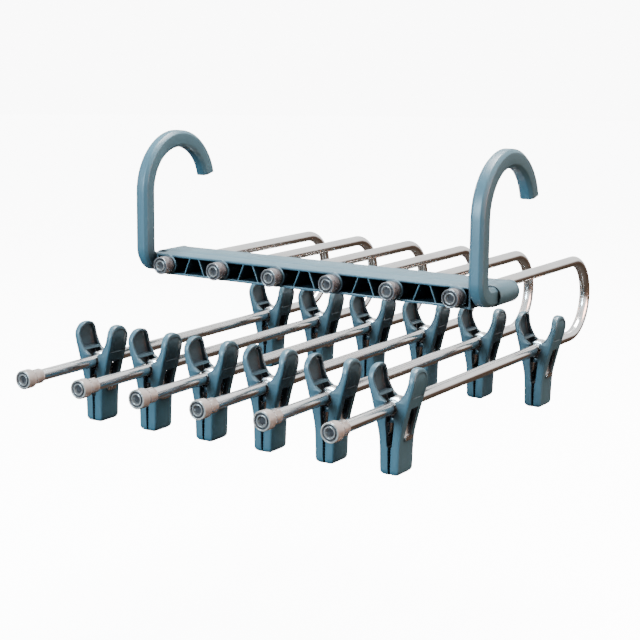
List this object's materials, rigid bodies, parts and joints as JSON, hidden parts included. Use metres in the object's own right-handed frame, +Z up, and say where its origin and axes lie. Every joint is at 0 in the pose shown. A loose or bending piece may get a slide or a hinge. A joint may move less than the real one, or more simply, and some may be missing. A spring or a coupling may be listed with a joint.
{
  "type": "clip drying hanger",
  "caption": "Folding clip hanger: a moulded rail on two turning hooks carries U-bent steel arms, each with sliding spring clips for trousers or skirts.",
  "frame": {"origin": "centre of the closet rod that both hooks hang on, midway between the hooks", "axes": "+X along the rod and the rail, +Y from the free ends of the arms towards their bends, +Z up"},
  "size_m": [0.2542, 0.3355, 0.1736],
  "materials": {
    "teal_plastic": "satin moulded polypropylene",
    "tube_steel": "polished stainless tube",
    "clear_plastic": "clear moulded cap",
    "spring_steel": "bright flat spring strip",
    "screw_steel": "zinc plated screw"
  },
  "bodies": {
    "rail": {"rail": "teal_plastic"},
    "hook_left": {"hook_left": "teal_plastic", "pivot_screw_left": "screw_steel"},
    "hook_right": {"hook_right": "teal_plastic", "pivot_screw_right": "screw_steel"},
    "arm_1": {"arm_1": "tube_steel", "rail_cap_1": "clear_plastic", "bar_cap_1": "clear_plastic"},
    "arm_2": {"arm_2": "tube_steel", "rail_cap_2": "clear_plastic", "bar_cap_2": "clear_plastic"},
    "arm_3": {"arm_3": "tube_steel", "rail_cap_3": "clear_plastic", "bar_cap_3": "clear_plastic"},
    "arm_4": {"arm_4": "tube_steel", "rail_cap_4": "clear_plastic", "bar_cap_4": "clear_plastic"},
    "arm_5": {"arm_5": "tube_steel", "rail_cap_5": "clear_plastic", "bar_cap_5": "clear_plastic"},
    "arm_6": {"arm_6": "tube_steel", "rail_cap_6": "clear_plastic", "bar_cap_6": "clear_plastic"},
    "front_clip_1_slider": {"front_clip_1_spring": "spring_steel"},
    "front_clip_1_left": {"front_clip_1_left_jaw": "teal_plastic"},
    "front_clip_1_right": {"front_clip_1_right_jaw": "teal_plastic"},
    "front_clip_2_slider": {"front_clip_2_spring": "spring_steel"},
    "front_clip_2_left": {"front_clip_2_left_jaw": "teal_plastic"},
    "front_clip_2_right": {"front_clip_2_right_jaw": "teal_plastic"},
    "front_clip_3_slider": {"front_clip_3_spring": "spring_steel"},
    "front_clip_3_left": {"front_clip_3_left_jaw": "teal_plastic"},
    "front_clip_3_right": {"front_clip_3_right_jaw": "teal_plastic"},
    "front_clip_4_slider": {"front_clip_4_spring": "spring_steel"},
    "front_clip_4_left": {"front_clip_4_left_jaw": "teal_plastic"},
    "front_clip_4_right": {"front_clip_4_right_jaw": "teal_plastic"},
    "front_clip_5_slider": {"front_clip_5_spring": "spring_steel"},
    "front_clip_5_left": {"front_clip_5_left_jaw": "teal_plastic"},
    "front_clip_5_right": {"front_clip_5_right_jaw": "teal_plastic"},
    "front_clip_6_slider": {"front_clip_6_spring": "spring_steel"},
    "front_clip_6_left": {"front_clip_6_left_jaw": "teal_plastic"},
    "front_clip_6_right": {"front_clip_6_right_jaw": "teal_plastic"},
    "back_clip_1_slider": {"back_clip_1_spring": "spring_steel"},
    "back_clip_1_left": {"back_clip_1_left_jaw": "teal_plastic"},
    "back_clip_1_right": {"back_clip_1_right_jaw": "teal_plastic"},
    "back_clip_2_slider": {"back_clip_2_spring": "spring_steel"},
    "back_clip_2_left": {"back_clip_2_left_jaw": "teal_plastic"},
    "back_clip_2_right": {"back_clip_2_right_jaw": "teal_plastic"},
    "back_clip_3_slider": {"back_clip_3_spring": "spring_steel"},
    "back_clip_3_left": {"back_clip_3_left_jaw": "teal_plastic"},
    "back_clip_3_right": {"back_clip_3_right_jaw": "teal_plastic"},
    "back_clip_4_slider": {"back_clip_4_spring": "spring_steel"},
    "back_clip_4_left": {"back_clip_4_left_jaw": "teal_plastic"},
    "back_clip_4_right": {"back_clip_4_right_jaw": "teal_plastic"},
    "back_clip_5_slider": {"back_clip_5_spring": "spring_steel"},
    "back_clip_5_left": {"back_clip_5_left_jaw": "teal_plastic"},
    "back_clip_5_right": {"back_clip_5_right_jaw": "teal_plastic"},
    "back_clip_6_slider": {"back_clip_6_spring": "spring_steel"},
    "back_clip_6_left": {"back_clip_6_left_jaw": "teal_plastic"},
    "back_clip_6_right": {"back_clip_6_right_jaw": "teal_plastic"}
  },
  "joints": [
    {"name": "hook_left_turn", "type": "hinge", "parent": "rail", "child": "hook_left", "pos_m": [-0.1205, -0.0084, -0.046], "axis": [0, 1, 0], "range_deg": [-90, 0]},
    {"name": "hook_right_turn", "type": "hinge", "parent": "rail", "child": "hook_right", "pos_m": [0.1205, -0.0084, -0.046], "axis": [0, 1, 0], "range_deg": [0, 90]},
    {"name": "arm_1_swing", "type": "hinge", "parent": "rail", "child": "arm_1", "pos_m": [-0.105, -0.0084, -0.046], "axis": [0, 1, 0], "range_deg": [-18, 18]},
    {"name": "arm_2_swing", "type": "hinge", "parent": "rail", "child": "arm_2", "pos_m": [-0.063, -0.0084, -0.046], "axis": [0, 1, 0], "range_deg": [-18, 18]},
    {"name": "arm_3_swing", "type": "hinge", "parent": "rail", "child": "arm_3", "pos_m": [-0.021, -0.0084, -0.046], "axis": [0, 1, 0], "range_deg": [-18, 18]},
    {"name": "arm_4_swing", "type": "hinge", "parent": "rail", "child": "arm_4", "pos_m": [0.021, -0.0084, -0.046], "axis": [0, 1, 0], "range_deg": [-18, 18]},
    {"name": "arm_5_swing", "type": "hinge", "parent": "rail", "child": "arm_5", "pos_m": [0.063, -0.0084, -0.046], "axis": [0, 1, 0], "range_deg": [-18, 18]},
    {"name": "arm_6_swing", "type": "hinge", "parent": "rail", "child": "arm_6", "pos_m": [0.105, -0.0084, -0.046], "axis": [0, 1, 0], "range_deg": [-18, 18]},
    {"name": "front_clip_1_slide", "type": "slide", "parent": "arm_1", "child": "front_clip_1_slider", "axis": [0, 1, 0], "range_m": [-0.0465, 0.0855]},
    {"name": "front_clip_1_turn", "type": "hinge", "parent": "front_clip_1_slider", "child": "front_clip_1_left", "pos_m": [-0.105, -0.0974, -0.097], "axis": [0, 1, 0], "range_deg": [-25, 25], "deforming": ["front_clip_1_spring"]},
    {"name": "front_clip_1_open", "type": "hinge", "parent": "front_clip_1_left", "child": "front_clip_1_right", "pos_m": [-0.105, -0.0974, -0.097], "axis": [0, -1, 0], "range_deg": [0, 24], "stiffness_Nm_per_rad": 0.9, "springref_deg": -17.19, "deforming": ["front_clip_1_spring"]},
    {"name": "front_clip_2_slide", "type": "slide", "parent": "arm_2", "child": "front_clip_2_slider", "axis": [0, 1, 0], "range_m": [-0.0465, 0.0855]},
    {"name": "front_clip_2_turn", "type": "hinge", "parent": "front_clip_2_slider", "child": "front_clip_2_left", "pos_m": [-0.063, -0.0974, -0.097], "axis": [0, 1, 0], "range_deg": [-25, 25], "deforming": ["front_clip_2_spring"]},
    {"name": "front_clip_2_open", "type": "hinge", "parent": "front_clip_2_left", "child": "front_clip_2_right", "pos_m": [-0.063, -0.0974, -0.097], "axis": [0, -1, 0], "range_deg": [0, 24], "stiffness_Nm_per_rad": 0.9, "springref_deg": -17.19, "deforming": ["front_clip_2_spring"]},
    {"name": "front_clip_3_slide", "type": "slide", "parent": "arm_3", "child": "front_clip_3_slider", "axis": [0, 1, 0], "range_m": [-0.0465, 0.0855]},
    {"name": "front_clip_3_turn", "type": "hinge", "parent": "front_clip_3_slider", "child": "front_clip_3_left", "pos_m": [-0.021, -0.0974, -0.097], "axis": [0, 1, 0], "range_deg": [-25, 25], "deforming": ["front_clip_3_spring"]},
    {"name": "front_clip_3_open", "type": "hinge", "parent": "front_clip_3_left", "child": "front_clip_3_right", "pos_m": [-0.021, -0.0974, -0.097], "axis": [0, -1, 0], "range_deg": [0, 24], "stiffness_Nm_per_rad": 0.9, "springref_deg": -17.19, "deforming": ["front_clip_3_spring"]},
    {"name": "front_clip_4_slide", "type": "slide", "parent": "arm_4", "child": "front_clip_4_slider", "axis": [0, 1, 0], "range_m": [-0.0465, 0.0855]},
    {"name": "front_clip_4_turn", "type": "hinge", "parent": "front_clip_4_slider", "child": "front_clip_4_left", "pos_m": [0.021, -0.0974, -0.097], "axis": [0, 1, 0], "range_deg": [-25, 25], "deforming": ["front_clip_4_spring"]},
    {"name": "front_clip_4_open", "type": "hinge", "parent": "front_clip_4_left", "child": "front_clip_4_right", "pos_m": [0.021, -0.0974, -0.097], "axis": [0, -1, 0], "range_deg": [0, 24], "stiffness_Nm_per_rad": 0.9, "springref_deg": -17.19, "deforming": ["front_clip_4_spring"]},
    {"name": "front_clip_5_slide", "type": "slide", "parent": "arm_5", "child": "front_clip_5_slider", "axis": [0, 1, 0], "range_m": [-0.0465, 0.0855]},
    {"name": "front_clip_5_turn", "type": "hinge", "parent": "front_clip_5_slider", "child": "front_clip_5_left", "pos_m": [0.063, -0.0974, -0.097], "axis": [0, 1, 0], "range_deg": [-25, 25], "deforming": ["front_clip_5_spring"]},
    {"name": "front_clip_5_open", "type": "hinge", "parent": "front_clip_5_left", "child": "front_clip_5_right", "pos_m": [0.063, -0.0974, -0.097], "axis": [0, -1, 0], "range_deg": [0, 24], "stiffness_Nm_per_rad": 0.9, "springref_deg": -17.19, "deforming": ["front_clip_5_spring"]},
    {"name": "front_clip_6_slide", "type": "slide", "parent": "arm_6", "child": "front_clip_6_slider", "axis": [0, 1, 0], "range_m": [-0.0465, 0.0855]},
    {"name": "front_clip_6_turn", "type": "hinge", "parent": "front_clip_6_slider", "child": "front_clip_6_left", "pos_m": [0.105, -0.0974, -0.097], "axis": [0, 1, 0], "range_deg": [-25, 25], "deforming": ["front_clip_6_spring"]},
    {"name": "front_clip_6_open", "type": "hinge", "parent": "front_clip_6_left", "child": "front_clip_6_right", "pos_m": [0.105, -0.0974, -0.097], "axis": [0, -1, 0], "range_deg": [0, 24], "stiffness_Nm_per_rad": 0.9, "springref_deg": -17.19, "deforming": ["front_clip_6_spring"]},
    {"name": "back_clip_1_slide", "type": "slide", "parent": "arm_1", "child": "back_clip_1_slider", "axis": [0, 1, 0], "range_m": [-0.084, 0.038]},
    {"name": "back_clip_1_turn", "type": "hinge", "parent": "back_clip_1_slider", "child": "back_clip_1_left", "pos_m": [-0.105, 0.0911, -0.097], "axis": [0, 1, 0], "range_deg": [-25, 25], "deforming": ["back_clip_1_spring"]},
    {"name": "back_clip_1_open", "type": "hinge", "parent": "back_clip_1_left", "child": "back_clip_1_right", "pos_m": [-0.105, 0.0911, -0.097], "axis": [0, -1, 0], "range_deg": [0, 24], "stiffness_Nm_per_rad": 0.9, "springref_deg": -17.19, "deforming": ["back_clip_1_spring"]},
    {"name": "back_clip_2_slide", "type": "slide", "parent": "arm_2", "child": "back_clip_2_slider", "axis": [0, 1, 0], "range_m": [-0.084, 0.038]},
    {"name": "back_clip_2_turn", "type": "hinge", "parent": "back_clip_2_slider", "child": "back_clip_2_left", "pos_m": [-0.063, 0.0911, -0.097], "axis": [0, 1, 0], "range_deg": [-25, 25], "deforming": ["back_clip_2_spring"]},
    {"name": "back_clip_2_open", "type": "hinge", "parent": "back_clip_2_left", "child": "back_clip_2_right", "pos_m": [-0.063, 0.0911, -0.097], "axis": [0, -1, 0], "range_deg": [0, 24], "stiffness_Nm_per_rad": 0.9, "springref_deg": -17.19, "deforming": ["back_clip_2_spring"]},
    {"name": "back_clip_3_slide", "type": "slide", "parent": "arm_3", "child": "back_clip_3_slider", "axis": [0, 1, 0], "range_m": [-0.084, 0.038]},
    {"name": "back_clip_3_turn", "type": "hinge", "parent": "back_clip_3_slider", "child": "back_clip_3_left", "pos_m": [-0.021, 0.0911, -0.097], "axis": [0, 1, 0], "range_deg": [-25, 25], "deforming": ["back_clip_3_spring"]},
    {"name": "back_clip_3_open", "type": "hinge", "parent": "back_clip_3_left", "child": "back_clip_3_right", "pos_m": [-0.021, 0.0911, -0.097], "axis": [0, -1, 0], "range_deg": [0, 24], "stiffness_Nm_per_rad": 0.9, "springref_deg": -17.19, "deforming": ["back_clip_3_spring"]},
    {"name": "back_clip_4_slide", "type": "slide", "parent": "arm_4", "child": "back_clip_4_slider", "axis": [0, 1, 0], "range_m": [-0.084, 0.038]},
    {"name": "back_clip_4_turn", "type": "hinge", "parent": "back_clip_4_slider", "child": "back_clip_4_left", "pos_m": [0.021, 0.0911, -0.097], "axis": [0, 1, 0], "range_deg": [-25, 25], "deforming": ["back_clip_4_spring"]},
    {"name": "back_clip_4_open", "type": "hinge", "parent": "back_clip_4_left", "child": "back_clip_4_right", "pos_m": [0.021, 0.0911, -0.097], "axis": [0, -1, 0], "range_deg": [0, 24], "stiffness_Nm_per_rad": 0.9, "springref_deg": -17.19, "deforming": ["back_clip_4_spring"]},
    {"name": "back_clip_5_slide", "type": "slide", "parent": "arm_5", "child": "back_clip_5_slider", "axis": [0, 1, 0], "range_m": [-0.084, 0.038]},
    {"name": "back_clip_5_turn", "type": "hinge", "parent": "back_clip_5_slider", "child": "back_clip_5_left", "pos_m": [0.063, 0.0911, -0.097], "axis": [0, 1, 0], "range_deg": [-25, 25], "deforming": ["back_clip_5_spring"]},
    {"name": "back_clip_5_open", "type": "hinge", "parent": "back_clip_5_left", "child": "back_clip_5_right", "pos_m": [0.063, 0.0911, -0.097], "axis": [0, -1, 0], "range_deg": [0, 24], "stiffness_Nm_per_rad": 0.9, "springref_deg": -17.19, "deforming": ["back_clip_5_spring"]},
    {"name": "back_clip_6_slide", "type": "slide", "parent": "arm_6", "child": "back_clip_6_slider", "axis": [0, 1, 0], "range_m": [-0.084, 0.038]},
    {"name": "back_clip_6_turn", "type": "hinge", "parent": "back_clip_6_slider", "child": "back_clip_6_left", "pos_m": [0.105, 0.0911, -0.097], "axis": [0, 1, 0], "range_deg": [-25, 25], "deforming": ["back_clip_6_spring"]},
    {"name": "back_clip_6_open", "type": "hinge", "parent": "back_clip_6_left", "child": "back_clip_6_right", "pos_m": [0.105, 0.0911, -0.097], "axis": [0, -1, 0], "range_deg": [0, 24], "stiffness_Nm_per_rad": 0.9, "springref_deg": -17.19, "deforming": ["back_clip_6_spring"]}
  ]
}
